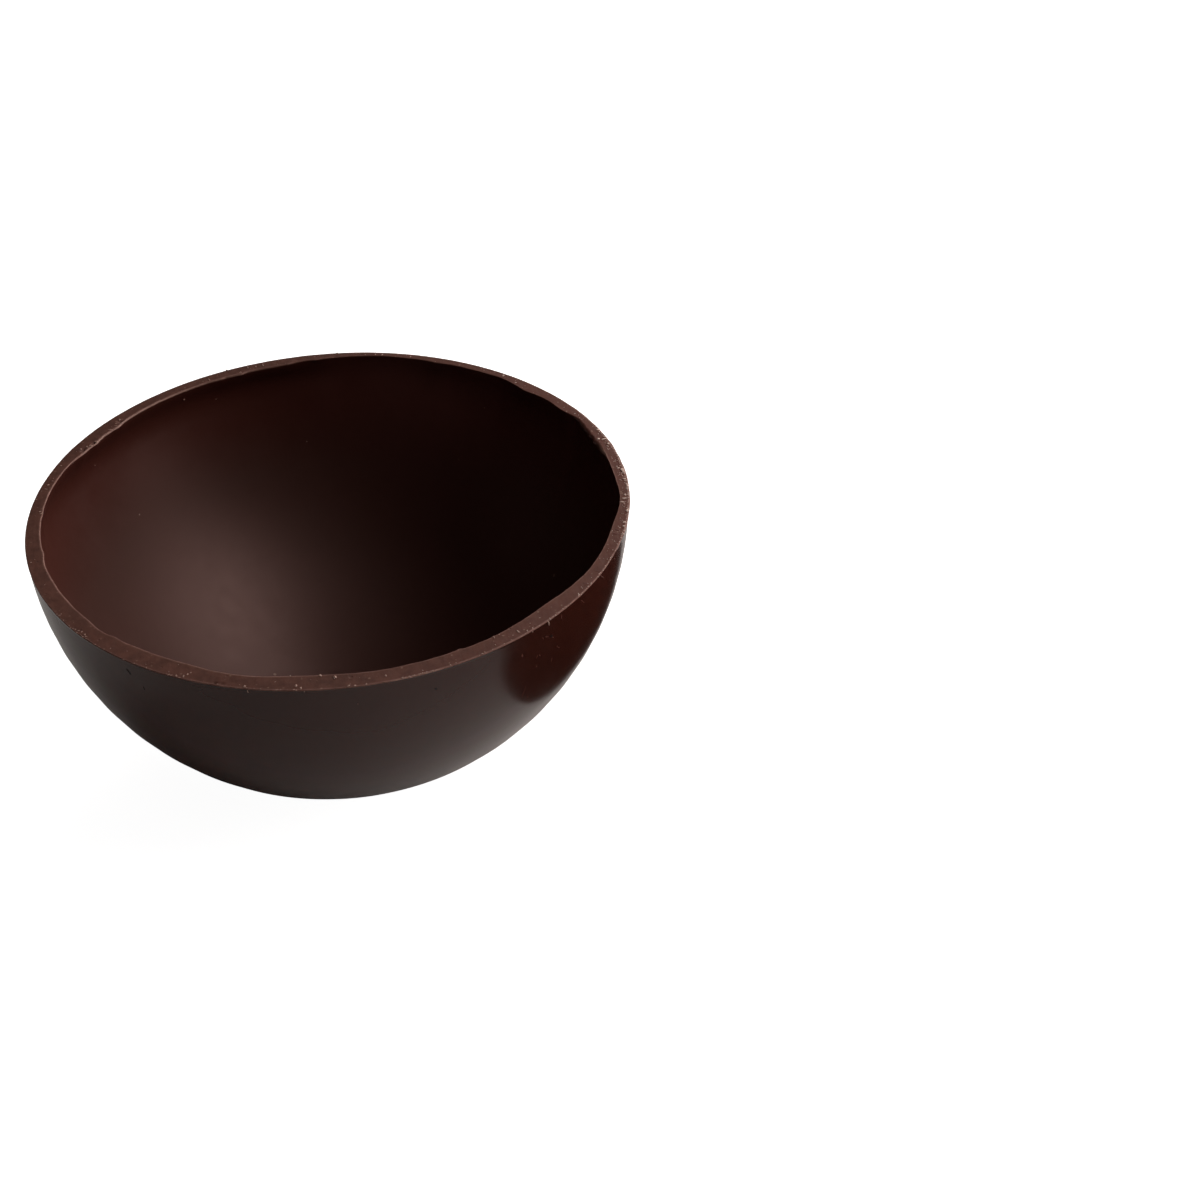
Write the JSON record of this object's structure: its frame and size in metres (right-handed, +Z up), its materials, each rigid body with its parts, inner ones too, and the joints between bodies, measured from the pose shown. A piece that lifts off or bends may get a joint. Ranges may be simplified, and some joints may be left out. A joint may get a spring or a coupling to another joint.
{
  "type": "chocolate half sphere",
  "caption": "Thin hollow half sphere of dark chocolate, open at the top, with a flat scraped rim and an uneven inner edge.",
  "frame": {"origin": "middle of the small flat spot that the shell rests on, below the middle of the rim", "axes": "+Z up along the shell's axis, through the middle of the open rim; the rim is widest towards -Y and narrowest towards +Y"},
  "size_m": [0.07, 0.07, 0.0346],
  "materials": {
    "dark_chocolate": "moulded gloss outside, satin inside, matt scraped rim"
  },
  "bodies": {
    "root": {"half_sphere_shell": "dark_chocolate"}
  },
  "joints": []
}
